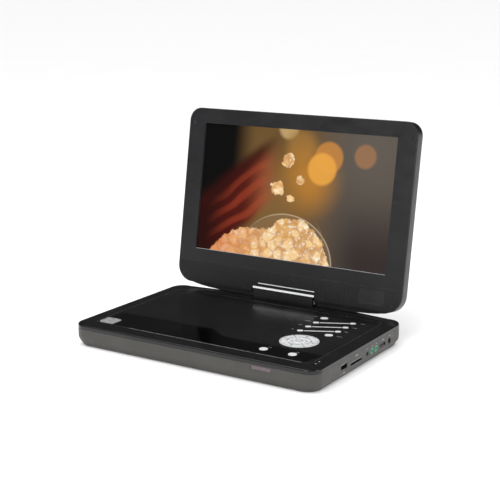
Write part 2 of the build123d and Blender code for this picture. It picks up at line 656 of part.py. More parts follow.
def screen_outline(inset):
    """Face outline with larger radii at the bottom, in the XZ plane."""
    w, h = SCREEN_W / 2 - inset, SCREEN_H - inset
    face = polygon([(-w, inset), (w, inset), (w, h), (-w, h)])
    face = fillet(face.vertices().filter_by(lambda v: v.Y < inset + 1), LOW_R - inset)
    return fillet(face.vertices().filter_by(lambda v: v.Y > h - 1), TOP_R - inset)


def upright(outline, b0, b1):
    """Makes a face outline solid between two depths behind the face."""
    return Pos(0, b1, 0) * Rot(90, 0, 0) * extrude(outline, amount=b1 - b0)


def notch():
    return block(-NOTCH_W / 2, NOTCH_W / 2, -1, SCREEN_T + 1, -8, NOTCH_H)


SPEAKER_X, SPEAKER_W = 112.0, 15.4


def front_bezel():
    frame = upright(screen_outline(0), 0, BEZEL_T)
    front = frame.edges().filter_by(lambda e: e.bounding_box().max.Y < 1e-3)
    frame = fillet(front, 1.0)
    frame -= upright(screen_outline(2.0), 2.2, BEZEL_T + 1)
    frame += block(-NOTCH_W / 2 - 1.8, NOTCH_W / 2 + 1.8, 0.5, BEZEL_T, 1.5, NOTCH_H + 1.8)
    view = Pos(0, 0, VIEW_LOW + VIEW_H / 2) * Box(VIEW_W, 20, VIEW_H)
    frame -= view
    frame -= notch()
    frame -= rod_z(0, SWIVEL_B, POST_R + 0.3, 0, 14)
    # shallow groove between the plain upper frame and the ribbed lower band
    frame -= block(-SCREEN_W, SCREEN_W, -1, 0.3, 26.2, 27.0)
    frame -= block(SPEAKER_X - 15, SPEAKER_X + 15, -1, BEZEL_T, SPEAKER_W - 7.8, SPEAKER_W + 7.8)
    return in_screen(frame)


def rear_cover():
    shell = upright(screen_outline(0), BEZEL_T, SCREEN_T)
    back = shell.edges().filter_by(lambda e: e.bounding_box().min.Y > SCREEN_T - 1e-3)
    shell = fillet(back, 3.0)
    shell -= upright(screen_outline(2.0), BEZEL_T - 1, SCREEN_T - 2.0)
    # belly below the frame's lower edge, inside the circle the hinge leaves over the deck
    belly = polygon([(-136, 1.9), (-128, -1.3), (-117, -3.1), (-105, -4.2), (-90, -5.0), (90, -5.0),
                     (105, -4.2), (117, -3.1), (128, -1.3), (136, 1.9)])
    shell += upright(belly, BEZEL_T, BEZEL_T + 3.6)
    shell += block(-NOTCH_W / 2 - 1.8, NOTCH_W / 2 + 1.8, BEZEL_T, SCREEN_T - 1.0, 1.5, NOTCH_H + 1.8)
    shell -= notch()
    shell -= rod_z(0, SWIVEL_B, POST_R + 0.3, 0, 14)
    for x, w in SCREEN_SCREWS:
        shell -= Pos(x, SCREEN_T, w) * Rot(90, 0, 0) * Cylinder(3.2, 2.0)
        shell += Pos(x, (BEZEL_T + SCREEN_T - 1) / 2, w) * Rot(90, 0, 0) * Cylinder(
            3.4, SCREEN_T - 1.0 - BEZEL_T)
        shell -= Pos(x, BEZEL_T + 2, w) * Rot(90, 0, 0) * Cylinder(1.6, 2 * SCREEN_T)
    return in_screen(shell)


SCREEN_SCREWS = [(-134, 30), (134, 30), (-134, 199), (134, 199), (-31, 34), (31, 34)]


def screen_screws():
    screws = []
    for x, w in SCREEN_SCREWS:
        shank = Pos(x, SCREEN_T - 5.8, w) * Rot(90, 0, 0) * Cylinder(1.5, 9.6)
        head = Pos(x, SCREEN_T - 0.65, w) * Rot(90, 0, 0) * Cylinder(2.9, 0.7)
        screws.append(in_screen(shank + head))
    return screws


def lcd_panel():
    x, low = VIEW_W / 2 + 3, VIEW_LOW - 3
    return in_screen(block(-x, x, 2.2, 6.8, low, VIEW_LOW + VIEW_H + 3))


def speaker():
    x, w = SPEAKER_X, SPEAKER_W
    unit = block(x - 14, x + 14, 2.6, 5.4, w - 7.2, w + 7.2)
    unit += Pos(x, 6.9, w) * Rot(90, 0, 0) * Cylinder(6.0, 3.0)
    return in_screen(unit)


def speaker_grille():
    """Perforated insert in the lower right corner of the frame."""
    x, w = SPEAKER_X, SPEAKER_W
    plate = block(x - 15, x + 15, 0.2, 1.4, w - 7.8, w + 7.8)
    for i in range(13):
        for j in range(7):
            spot = Pos(x - 13.2 + 2.2 * i, 0.8, w - 6.3 + 2.1 * j)
            plate -= spot * Rot(90, 0, 0) * Cylinder(0.55, 3)
    return in_screen(plate)


def driver_board():
    board = block(-92, -36, 9.0, 10.2, 14.5, 36)
    board += block(-80, -60, 7.4, 9.0, 18, 30) + block(-54, -42, 6.8, 9.0, 20, 32)
    return in_screen(board)


def bezel_bumpers():
    pads = []
    for side in (-1, 1):
        for x, w, r in ((140.4, 191.6, 2.6), (137.3, 8.2, 2.2), (51.4, 4.2, 1.5)):
            pads.append(in_screen(Pos(side * x, -0.1, w) * Rot(90, 0, 0) * Cylinder(r, 0.8)))
    return pads


def bezel_with_pockets():
    """The frame, with a shallow pocket under each pad."""
    bezel = front_bezel()
    for pad in bezel_bumpers():
        bezel -= pad
    return bezel


# ---------------------------------------------------------------- write every node
save("lower_shell", lower_shell())
save("upper_shell", upper_shell())
save("disc_deck", disc_deck())
save("control_panel", control_panel())
save("panel_strip", panel_strip())
save("key_bars", [slab(bar_outline(y), TOP_Z - 0.4, TOP_Z + 0.15) for y in BAR_LEFT_Y])
save("ir_window", ir_window())
save("indicator_lenses", indicator_lenses())
save("rubber_feet", rubber_feet())
save("case_screws", case_screws())
save("main_board", main_board())
save("key_board", key_board())
save("battery_pack", battery_pack())
save("drive_frame", drive_frame())
save("drive_dampers", drive_dampers())
save("guide_rods", guide_rods())
save("spindle_motor", spindle_motor())
save("feed_motor", feed_motor())
save("usb_socket", usb_socket())
save("card_socket", card_socket())
save("phone_jack", round_jack(PHONE_Y, 1.8, 12))
save("av_jacks", [round_jack(y, 1.8, 12) for y in AV_Y])
save("dc_jack", dc_jack())
save("power_switch", power_switch())
save("hinge_brackets", hinge_brackets())

save("disc_lid", disc_lid())
save("lid_strip", slab(lid_strip_outline(), TOP_Z - STRIP_T, TOP_Z + STRIP_PROUD))
save("badge", badge())
save("lid_pins", lid_pins())

save("turntable", turntable())
save("pickup_sled", pickup_sled() + pickup_lens())
save("feed_screw", feed_screw())
save("switch_knob", switch_knob())

for key, (key_kind, key_spot) in all_small_keys().items():
    save(key, small_key(key_kind, key_spot))
for key, key_turn in (("right_key", 0), ("up_key", 90), ("left_key", 180), ("down_key", 270)):
    save(key, pad_segment(key_turn))
save("ok_key", ok_key())

save("hinge_block", hinge_block())
save("trim_bars", [in_screen(bar) for bar in trim_bars()])
save("tilt_pins", tilt_pins())

save("swivel_post", swivel_post())
save("front_bezel", bezel_with_pockets())
save("rear_cover", rear_cover())
save("lcd_panel", lcd_panel())
save("speaker", speaker())
save("speaker_grille", speaker_grille())
save("driver_board", driver_board())
save("bezel_bumpers", bezel_bumpers())
save("screen_screws", screen_screws())
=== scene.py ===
"""Looks of a portable disc player with a swivelling screen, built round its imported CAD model."""
import json
import math

import bmesh
import bpy
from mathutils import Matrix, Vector

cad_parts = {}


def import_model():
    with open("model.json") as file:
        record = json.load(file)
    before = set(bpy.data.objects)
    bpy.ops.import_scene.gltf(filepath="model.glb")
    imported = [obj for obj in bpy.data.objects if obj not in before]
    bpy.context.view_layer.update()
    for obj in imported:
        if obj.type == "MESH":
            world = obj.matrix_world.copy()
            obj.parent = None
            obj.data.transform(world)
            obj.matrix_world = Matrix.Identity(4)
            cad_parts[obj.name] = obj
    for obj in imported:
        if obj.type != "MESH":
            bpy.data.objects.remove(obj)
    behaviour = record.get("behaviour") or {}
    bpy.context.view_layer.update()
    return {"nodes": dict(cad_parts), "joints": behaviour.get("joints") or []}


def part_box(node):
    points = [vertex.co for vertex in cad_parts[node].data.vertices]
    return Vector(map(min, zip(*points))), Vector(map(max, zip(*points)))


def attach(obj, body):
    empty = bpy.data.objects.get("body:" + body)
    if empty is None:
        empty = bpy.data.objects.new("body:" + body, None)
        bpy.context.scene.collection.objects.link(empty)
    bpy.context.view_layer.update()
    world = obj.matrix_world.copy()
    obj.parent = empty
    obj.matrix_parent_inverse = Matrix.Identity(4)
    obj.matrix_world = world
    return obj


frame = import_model()
nodes = frame["nodes"]
joints = {joint["name"]: joint for joint in frame["joints"]}
MM = 0.001

# ---------------------------------------------------------------- places read from the frame
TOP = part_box("upper_shell")[1].z
BASE_LOW, BASE_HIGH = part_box("lower_shell")
WALL_X = BASE_HIGH.x
PANEL_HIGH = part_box("control_panel")[1]
SCREEN_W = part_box("front_bezel")[1].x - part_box("front_bezel")[0].x
UP = Vector(joints["screen_swivel"]["axis"]).normalized()
BACK = Vector((1, 0, 0)).cross(UP) * -1
LEAN = math.atan2(UP.y, UP.z)

# ---------------------------------------------------------------- sizes that the frame doesn't list
SCREEN_T = 15.0 * MM
SCREEN_ORIGIN = Vector(joints["screen_swivel"]["pos_m"]) - BACK * SCREEN_T / 2
# the display as its opening shows it, and the height of its lower edge on the screen
VIEW_W, VIEW_H, VIEW_LOW = 250.8 * MM, 150.2 * MM, 41.1 * MM
# marks, in millimetres: thickness of print and of the pad's lines, and their gap to the face below
PRINT_T, PAD_LINE_T, MARK_GAP = 0.03, 0.02, 0.005


def on_screen(x, behind, height):
    """Row-frame place of a point in the screen's own frame, in millimetres."""
    return SCREEN_ORIGIN + Vector((x * MM, 0, 0)) + BACK * behind * MM + UP * height * MM


# ---------------------------------------------------------------- node materials
class Shader:
    """One node material round a Principled surface, with short ways to add its nodes."""

    def __init__(self, name):
        self.material = bpy.data.materials.new(name)
        self.material.use_nodes = True
        self.tree = self.material.node_tree
        self.surface = self.tree.nodes["Principled BSDF"]
        self.place = self.add("TexCoord").outputs["Object"]

    def add(self, kind, **settings):
        node = self.tree.nodes.new("ShaderNode" + kind)
        for key, value in settings.items():
            setattr(node, key, value)
        return node

    def feed(self, socket, value):
        """Links a socket, or sets it to a plain value."""
        if isinstance(value, bpy.types.NodeSocket):
            self.tree.links.new(value, socket)
        else:
            socket.default_value = value

    def set(self, **values):
        for key, value in values.items():
            self.feed(self.surface.inputs[key.replace("_", " ")], value)

    def math(self, operation, a, b=0.0, clamp=False):
        node = self.add("Math", operation=operation, use_clamp=clamp)
        self.feed(node.inputs[0], a)
        self.feed(node.inputs[1], b)
        return node.outputs[0]

    def vector(self, operation, a, b=(0, 0, 0)):
        node = self.add("VectorMath", operation=operation)
        self.feed(node.inputs[0], a)
        self.feed(node.inputs[1], b)
        return node.outputs["Value"] if operation in ("DISTANCE", "LENGTH") else node.outputs[0]

    def noise(self, scale, detail=3.0, rough=0.5, where=None, out="Fac"):
        node = self.add("TexNoise")
        self.feed(node.inputs["Vector"], where or self.place)
        node.inputs["Scale"].default_value = scale
        node.inputs["Detail"].default_value = detail
        node.inputs["Roughness"].default_value = rough
        return node.outputs[out]

    def stretch(self, scale, where=None):
        """Coordinates pulled by a scale along each axis."""
        return self.vector("MULTIPLY", where or self.place, scale)

    def remap(self, value, low, high, to_low=0.0, to_high=1.0, smooth=False):
        node = self.add("MapRange", interpolation_type="SMOOTHSTEP" if smooth else "LINEAR")
        for index, number in enumerate((low, high, to_low, to_high)):
            node.inputs[index + 1].default_value = number
        self.feed(node.inputs[0], value)
        return node.outputs[0]

    def mix(self, factor, a, b):
        node = self.add("Mix", data_type="RGBA")
        self.feed(node.inputs["Factor"], factor)
        for socket, value in ((node.inputs[6], a), (node.inputs[7], b)):
            self.feed(socket, value if isinstance(value, bpy.types.NodeSocket) else (*value, 1.0))
        return node.outputs[2]

    def bump(self, height, strength, distance, under=None):
        node = self.add("Bump")
        node.inputs["Strength"].default_value = strength
        node.inputs["Distance"].default_value = distance
        self.feed(node.inputs["Height"], height)
        if under:
            self.feed(node.inputs["Normal"], under)
        return node.outputs[0]

    def edges(self, width):
        """Near 1 on convex and concave edges, 0 on flats."""
        rounded = self.add("Bevel", samples=4)
        rounded.inputs["Radius"].default_value = width
        plain = self.add("NewGeometry").outputs["Normal"]
        dot = self.add("VectorMath", operation="DOT_PRODUCT")
        self.feed(dot.inputs[0], rounded.outputs[0])
        self.feed(dot.inputs[1], plain)
        return self.remap(dot.outputs["Value"], 0.995, 0.90)


def plastic(name, colour, rough, grain=1500.0, depth=0.02, spread=0.06, specular=0.5, coat=0.0,
            wear=0.0, cloud=0.25):
    """Moulded plastic: cloudy colour, fine mould grain, and finger-smear changes in its gloss."""
    s = Shader(name)
    light = tuple(min(1.0, c * (1 + cloud) + 0.001) for c in colour)
    patch = s.remap(s.noise(28, 4, 0.55), 0.35, 0.68, smooth=True)
    shade = s.mix(patch, colour, light)
    if wear:
        worn = tuple(min(1.0, c + wear) for c in colour)
        rub = s.math("MULTIPLY", s.edges(0.5 * MM), s.remap(s.noise(160, 3), 0.42, 0.7))
        shade = s.mix(rub, shade, worn)
    smear = s.noise(45, 5, 0.62, where=s.stretch((1.0, 2.4, 1.6)))
    s.set(Base_Color=shade, Roughness=s.remap(smear, 0.3, 0.75, rough - spread, rough + spread))
    s.surface.inputs["Specular IOR Level"].default_value = specular
    if coat:
        s.surface.inputs["Coat Weight"].default_value = coat
        s.surface.inputs["Coat Roughness"].default_value = 0.06
    if depth:
        pits = s.noise(grain, 2, 0.6)
        s.set(Normal=s.bump(pits, depth, 0.05 * MM))
    return s


def metal(name, colour, rough, along=(1.0, 1.0, 1.0), spread=0.08, scratch=0.02):
    """Bare or plated metal with drawn lines along one axis."""
    s = Shader(name)
    lines = s.noise(900, 3, 0.65, where=s.stretch(along))
    tone = s.noise(60, 3)
    dull = tuple(c * 0.78 for c in colour)
    s.set(Base_Color=s.mix(s.remap(tone, 0.35, 0.7), colour, dull), Metallic=1.0,
          Roughness=s.remap(lines, 0.3, 0.7, max(0.02, rough - spread), rough + spread),
          Normal=s.bump(lines, scratch, 0.02 * MM))
    return s


def silver_paint(name, colour=(0.80, 0.81, 0.82), shine=0.10):
    """Silver lacquer over a moulded key: fine flakes under a soft gloss, with a painted highlight
    lightening its edges.
    """
    s = Shader(name)
    flake = s.noise(5200, 1, 0.4)
    shade = s.mix(s.remap(flake, 0.35, 0.65), tuple(c * 0.90 for c in colour), colour)
    # painted highlight: the edges are lightened toward near-white
    edge = s.edges(0.35 * MM)
    shade = s.mix(s.math("MULTIPLY", edge, 0.3), shade, (0.92, 0.92, 0.92))
    s.set(Base_Color=shade, Metallic=shine, Roughness=s.remap(s.noise(240, 3), 0.3, 0.7, 0.22, 0.36),
          Normal=s.bump(flake, 0.03, 0.01 * MM))
    return s


def board(name):
    """Green solder mask with paler copper lines under it."""
    s = Shader(name)
    grid = s.add("TexBrick")
    grid.inputs["Scale"].default_value = 260
    s.feed(grid.inputs["Vector"], s.place)
    grid.inputs["Color1"].default_value = (0.010, 0.085, 0.030, 1)
    grid.inputs["Color2"].default_value = (0.014, 0.120, 0.045, 1)
    grid.inputs["Mortar"].default_value = (0.030, 0.180, 0.070, 1)
    s.set(Base_Color=grid.outputs["Color"], Roughness=s.remap(s.noise(90, 3), 0.3, 0.7, 0.25, 0.4),
          Normal=s.bump(grid.outputs["Fac"], 0.15, 0.03 * MM))
    return s


def deck_gloss():
    """Polished black deck whose sheen thins out in soft clouds."""
    return plastic("deck_gloss", (0.0072, 0.0070, 0.0072), 0.20, grain=900, depth=0.006, spread=0.03,
                   specular=0.40, wear=0.03)


def picture():
    """What the display shows: popcorn over a glass bowl, before a red cloth and blurred warm lights."""
    s = Shader("picture")
    shifted = s.vector("SUBTRACT", s.place, tuple(SCREEN_ORIGIN))
    turn = s.add("Mapping", vector_type="POINT")
    turn.inputs["Rotation"].default_value = (LEAN, 0, 0)
    s.feed(turn.inputs["Vector"], shifted)
    split = s.add("SeparateXYZ")
    s.feed(split.inputs[0], turn.outputs[0])
    # u runs 0 to 1.667 across the picture, v 0 to 1 up it
    u = s.remap(split.outputs["X"], -VIEW_W / 2, VIEW_W / 2, 0, VIEW_W / VIEW_H)
    v = s.remap(split.outputs["Z"], VIEW_LOW, VIEW_LOW + VIEW_H, 0, 1)
    join = s.add("CombineXYZ")
    s.feed(join.inputs["X"], u)
    s.feed(join.inputs["Y"], v)
    spot = join.outputs[0]

    def disc(x, y, radius, soft, squash=1.0):
        pulled = s.stretch((1.0, squash, 1.0), spot)
        away = s.vector("DISTANCE", pulled, (x, y * squash, 0))
        return s.remap(away, radius - soft, radius + soft, 1, 0, smooth=True)

    def both(a, b):
        return s.math("MULTIPLY", a, b)

    # room: black at the left, a warm brown wall, grey towards the right
    scene = s.mix(s.remap(u, 0.26, 0.50, smooth=True), (0.0008, 0.0006, 0.0005), (0.150, 0.082, 0.026))
    scene = s.mix(s.remap(u, 0.80, 1.35, smooth=True), scene, (0.100, 0.082, 0.066))
    low = both(s.remap(v, 0.70, 0.05, smooth=True), s.remap(u, 1.0, 1.45, smooth=True))
    scene = s.mix(s.math("MULTIPLY", low, 0.80), scene, (0.020, 0.013, 0.014))
    scene = s.mix(s.math("MULTIPLY", disc(1.5, 0.95, 0.30, 0.30), 0.4), scene, (0.15, 0.13, 0.11))
    # lights out of focus
    for x, y, radius, soft, colour, weight in (
            (0.76, 1.01, 0.085, 0.02, (0.55, 0.38, 0.16), 0.85),
            (0.88, 0.88, 0.12, 0.06, (0.34, 0.17, 0.04), 0.8),
            (0.95, 0.62, 0.20, 0.16, (0.52, 0.22, 0.03), 0.8),
            (1.12, 0.81, 0.118, 0.014, (0.60, 0.25, 0.05), 0.75),
            (1.07, 0.72, 0.120, 0.016, (0.82, 0.38, 0.06), 0.85),
            (1.42, 0.84, 0.088, 0.014, (0.34, 0.17, 0.08), 0.8),
            (0.70, 0.44, 0.20, 0.16, (0.24, 0.13, 0.04), 0.6)):
        scene = s.mix(s.math("MULTIPLY", disc(x, y, radius, soft), weight), scene, colour)

    # a folded red cloth hangs across the left, out of focus at its edges
    wave = s.math("MULTIPLY", s.math("SUBTRACT", s.noise(2.4, 1, where=spot), 0.5), 0.16)
    slope = s.math("SUBTRACT", v, s.math("MULTIPLY", u, 0.80))
    lean_v = s.math("ADD", slope, wave)
    cloth = both(s.remap(lean_v, -0.16, -0.04, smooth=True), s.remap(lean_v, 0.50, 0.36, smooth=True))
    cloth = both(cloth, s.remap(u, 0.74, 0.50, smooth=True))
    fold = s.math("SINE", s.math("MULTIPLY", s.math("ADD", lean_v, s.math("MULTIPLY", u, 0.10)), 46.0))
    red = s.mix(s.remap(fold, -0.7, 0.9, smooth=True), (0.080, 0.006, 0.003), (0.230, 0.028, 0.011))
    red = s.mix(s.remap(u, 0.38, 0.70, smooth=True), red, (0.380, 0.085, 0.035))
    red = s.mix(s.remap(u, 0.36, 0.04, smooth=True), red, (0.022, 0.002, 0.001))
    red = s.mix(s.remap(lean_v, 0.20, 0.42, smooth=True), red, (0.030, 0.002, 0.001))
    scene = s.mix(s.math("MULTIPLY", cloth, 0.96), scene, red)

    # popped corn: clumps of rounded lobes with narrow creases and toasted hollows
    warp = s.add("VectorMath", operation="SCALE")
    s.feed(warp.inputs[0], s.noise(14, 4, 0.6, where=spot, out="Color"))
    warp.inputs["Scale"].default_value = 0.085
    bent = s.vector("ADD", spot, warp.outputs[0])

    def cells(scale, feature, out="Distance"):
        node = s.add("TexVoronoi", feature=feature)
        node.inputs["Scale"].default_value = scale
        s.feed(node.inputs["Vector"], bent)
        return node.outputs[out]

    lobe = s.remap(cells(25, "F1"), 0.05, 0.60, 1, 0, smooth=True)
    puff = s.remap(cells(11, "F1"), 0.10, 0.70, 1, 0, smooth=True)
    crease = s.remap(cells(11, "DISTANCE_TO_EDGE"), 0.0, 0.09, 1, 0, smooth=True)
    toast = s.remap(s.noise(17, 3, where=bent), 0.50, 0.60, smooth=True)
    corn = s.mix(lobe, (0.88, 0.62, 0.32), (1.0, 0.92, 0.72))
    corn = s.mix(s.remap(puff, 0.0, 0.55, 0.70, 0.0, smooth=True), corn, (0.55, 0.24, 0.06))
    corn = s.mix(s.math("MULTIPLY", toast, 0.42), corn, (0.92, 0.52, 0.16))
    corn = s.mix(s.math("MULTIPLY", crease, 0.22), corn, (0.30, 0.09, 0.02))
    glint = both(s.remap(cells(33, "F1"), 0.0, 0.45, 1, 0, smooth=True), s.remap(u, 0.30, 0.95))
    corn = s.mix(s.math("MULTIPLY", glint, 0.8), corn, (1.0, 0.98, 0.88))
    corn = s.mix(s.remap(u, 0.15, 0.72, 0.72, 0.0, smooth=True), corn, (0.66, 0.18, 0.05))

    # the glass bowl and the heap in it
    ragged = s.math("MULTIPLY", s.math("SUBTRACT", s.noise(17, 3, where=spot), 0.5), 0.085)

    def ragged_disc(x, y, radius, squash):
        pulled = s.stretch((1.0, squash, 1.0), spot)
        away = s.math("ADD", s.vector("DISTANCE", pulled, (x, y * squash, 0)), ragged)
        return s.remap(away, radius - 0.006, radius + 0.006, 1, 0, smooth=True)

    def ring(x, y, radius, squash, thick):
        outer = disc(x, y, radius, thick, squash)
        inner = disc(x, y, radius - thick, thick, squash)
        return s.math("SUBTRACT", outer, inner, clamp=True)

    bowl_x, bowl_y, bowl_r, bowl_squash, rim = 0.80, -0.02, 0.42, 1.12, 0.006
    glass = disc(bowl_x, bowl_y, bowl_r, rim, bowl_squash)
    scene = s.mix(s.math("MULTIPLY", glass, 0.35), scene, (0.30, 0.19, 0.10))
    far_rim = both(ring(bowl_x, bowl_y, bowl_r, bowl_squash, rim), s.remap(u, 0.45, 0.75))
    scene = s.mix(s.math("MULTIPLY", far_rim, 0.75), scene, (0.72, 0.60, 0.42))
    heap = s.math("MAXIMUM", ragged_disc(0.86, -0.10, 0.345, 0.82), ragged_disc(0.55, -0.16, 0.46, 1.2))
    scene = s.mix(heap, scene, corn)
    near_rim = both(ring(0.70, 0.13, 0.44, 1.35, rim), s.remap(u, 1.00, 1.06))
    near_rim = both(near_rim, s.remap(v, 0.34, 0.28))
    scene = s.mix(s.math("MULTIPLY", near_rim, 0.8), scene, (0.30, 0.17, 0.07))
    # four pieces of corn in the air
    for x, y, radius in ((0.78, 0.76, 0.052), (0.70, 0.55, 0.056),
                         (0.90, 0.62, 0.036), (0.82, 0.47, 0.030)):
        scene = s.mix(ragged_disc(x, y, radius, 1.0), scene, corn)

    s.set(Base_Color=s.mix(0.985, scene, (0.003, 0.003, 0.003)), Emission_Color=scene)
    s.surface.inputs["Emission Strength"].default_value = 1.0
    s.surface.inputs["Specular IOR Level"].default_value = 0.25
    s.set(Roughness=s.remap(s.noise(40, 4, 0.6), 0.3, 0.7, 0.05, 0.10))
    return s


LOOKS = {
    "gloss_black": deck_gloss(),
    "strip_black": plastic("strip_black", (0.0012, 0.0012, 0.0013), 0.10, depth=0.0, spread=0.03,
                           specular=0.40),
    "body_grey": plastic("body_grey", (0.040, 0.038, 0.034), 0.46, grain=2300, depth=0.10, wear=0.08,
                         specular=0.45, cloud=0.12),
    "bezel_charcoal": plastic("bezel_charcoal", (0.0060, 0.0060, 0.0072), 0.40, grain=2600, depth=0.05,
                              wear=0.04, specular=0.5, cloud=0.15),
    "back_black": plastic("back_black", (0.0085, 0.0085, 0.0090), 0.32, grain=1500, depth=0.08, wear=0.03),
    "block_black": plastic("block_black", (0.0045, 0.0045, 0.005), 0.14, depth=0.01, spread=0.04,
                           wear=0.03),
    "deck_black": plastic("deck_black", (0.022, 0.022, 0.024), 0.45, grain=1300, depth=0.12, wear=0.04),
    "key_silver": silver_paint("key_silver", (0.64, 0.65, 0.66), 0.12),
    "chrome_trim": silver_paint("chrome_trim", (0.88, 0.89, 0.90), 0.25),
    "badge_silver": silver_paint("badge_silver", (0.36, 0.36, 0.37), 0.3),
    "display": picture(),
    "grille_black": plastic("grille_black", (0.016, 0.016, 0.017), 0.5, grain=2600, depth=0.08),
    "bumper_black": plastic("bumper_black", (0.013, 0.013, 0.013), 0.75, grain=1800, depth=0.2,
                            specular=0.3),
    "ir_purple": plastic("ir_purple", (0.075, 0.050, 0.060), 0.16, depth=0.0, coat=0.3),
    "lens_clear": plastic("lens_clear", (0.30, 0.31, 0.30), 0.12, depth=0.0, coat=0.6),
    "steel": metal("steel", (0.32, 0.33, 0.34), 0.34, along=(0.2, 0.2, 1.0)),
    "board_green": board("board_green"),
    "cell_blue": plastic("cell_blue", (0.020, 0.060, 0.180), 0.28, grain=600, depth=0.05, coat=0.3),
    "jack_black": plastic("jack_black", (0.010, 0.010, 0.010), 0.38, grain=2200, depth=0.05),
    "jack_green": plastic("jack_green", (0.030, 0.230, 0.120), 0.30, grain=2200, depth=0.03),
    "sled_grey": plastic("sled_grey", (0.085, 0.086, 0.090), 0.42, grain=1700, depth=0.10),
}
# looks that only pieces made below wear
# painted highlight: lighter colour of the flat band round the deck's opening
LOOKS["edge"] = plastic("edge", (0.060, 0.060, 0.062), 0.3, depth=0.0)
LOOKS["rib"] = plastic("rib", (0.0050, 0.0050, 0.0055), 0.34, grain=2600, depth=0.05, specular=0.5)
for node in nodes.values():
    for holder in node.material_slots:
        holder.material = LOOKS[holder.material.name.split(".")[0]].material


# ---------------------------------------------------------------- mesh pieces
def piece(name, mesh, body, slot, look=None):
    """A finished piece that rides on a CAD body, in its slot's look or in one of its own."""
    data = bpy.data.meshes.new(name)
    bmesh.ops.recalc_face_normals(mesh, faces=mesh.faces)
    mesh.to_mesh(data)
    mesh.free()
    made = bpy.data.objects.new(name, data)
    bpy.context.scene.collection.objects.link(made)
    data.materials.append((look or LOOKS[slot]).material)
    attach(made, body)
    return made


def prism(mesh, outline, place, thick):
    """Adds a closed flat solid: place(x, y, depth) turns an outline point into the row frame."""
    low = [mesh.verts.new(place(x, y, 0)) for x, y in outline]
    high = [mesh.verts.new(place(x, y, thick)) for x, y in outline]
    mesh.faces.new(low)
    mesh.faces.new(high)
    for i in range(len(outline)):
        j = (i + 1) % len(outline)
        mesh.faces.new((low[i], low[j], high[j], high[i]))


def rectangle(x0, x1, y0, y1):
    return [(x0, y0), (x1, y0), (x1, y1), (x0, y1)]


def screen_band_edge(x, inset=1.3, radius=20.0):
    """Height at x of a line inset from the bezel's lower edge and round corners, in millimetres."""
    corner = SCREEN_W / MM / 2 - radius
    over = abs(x) - corner
    if over <= 0:
        return inset
    reach = radius - inset
    return radius - math.sqrt(max(0.0, reach * reach - over * over))


def lower_band_ribs():
    """Fine upright ribs over the lower band of the bezel, round its grille, notch and pads."""
    pitch, half, proud, sunk = 1.65, 0.45, 0.30, 0.02
    top, groove, ramp, side_margin = 26.0, 0.25, 0.5, 3.0
    notch_half, notch_top = 43.4, 13.2
    grille_x, grille_half, grille_low, grille_high = 112.0, 15.7, 7.1, 23.7
    corner_pad_x, corner_pad_half, corner_pad_top = 137.3, 3.2, 11.0
    notch_pad_x, notch_pad_half, notch_pad_top = 51.4, 2.4, 6.4
    # one rib's section: place across it and height, as shares of its half width and of its rise
    section = ((-1.0, 0.0), (-0.45, 0.85), (0.45, 0.85), (1.0, 0.0))
    mesh = bmesh.new()
    count = int((SCREEN_W / MM / 2 - side_margin) / pitch)
    for i in range(-count, count + 1):
        x = i * pitch
        spans = [[screen_band_edge(x) + groove, top]]
        if abs(x) < notch_half:
            spans = [[notch_top, top]]
        if abs(x - grille_x) < grille_half:
            spans = [[spans[0][0], grille_low], [grille_high, top]]
        if abs(abs(x) - corner_pad_x) < corner_pad_half:
            spans = [[corner_pad_top, top]]
        if abs(abs(x) - notch_pad_x) < notch_pad_half:
            spans = [[notch_pad_top, top]]
        for low, high in spans:
            rows = []
            for height, grow in ((low, 0.0), (low + ramp, 1.0), (high - ramp, 1.0), (high, 0.0)):
                rows.append([mesh.verts.new(on_screen(x + side * half, sunk - proud * grow * lift, height))
                             for side, lift in section])
            for a, b in zip(rows, rows[1:]):
                for j in range(len(section) - 1):
                    mesh.faces.new((a[j], a[j + 1], b[j + 1], b[j]))
    return piece("bezel_ribs", mesh, "screen", "bezel_charcoal", look=LOOKS["rib"])


def display_lip_highlight():
    """Painted highlights: a bright one on the lower lip of the display's opening and a dimmer one at its
    sides.
    """
    lip_tall, lip_front, lip_deep = 0.45, 0.9, 1.2
    side_wide, side_front, side_deep = 0.25, 1.2, 0.9
    half, low, high = VIEW_W / MM / 2, VIEW_LOW / MM, (VIEW_LOW + VIEW_H) / MM
    mesh = bmesh.new()
    prism(mesh, rectangle(-half, half, low, low + lip_tall),
          lambda x, w, d: on_screen(x, lip_front + d, w), lip_deep)
    piece("display_lip_highlight", mesh, "screen", "badge_silver")
    mesh = bmesh.new()
    for x0, x1 in ((-half, -half + side_wide), (half - side_wide, half)):
        prism(mesh, rectangle(x0, x1, low + lip_tall, high),
              lambda x, w, d: on_screen(x, side_front + d, w), side_deep)
    piece("display_side_highlights", mesh, "screen", "grille_black")


def round_loop(half_x, half_y, radius, steps=8):
    """Points round a rectangle with round corners, from the front right one."""
    loop = []
    for sx, sy, start in ((1, -1, -90), (1, 1, 0), (-1, 1, 90), (-1, -1, 180)):
        for i in range(steps + 1):
            a = math.radians(start + 90 * i / steps)
            loop.append((sx * (half_x - radius) + radius * math.cos(a),
                         sy * (half_y - radius) + radius * math.sin(a)))
    return loop


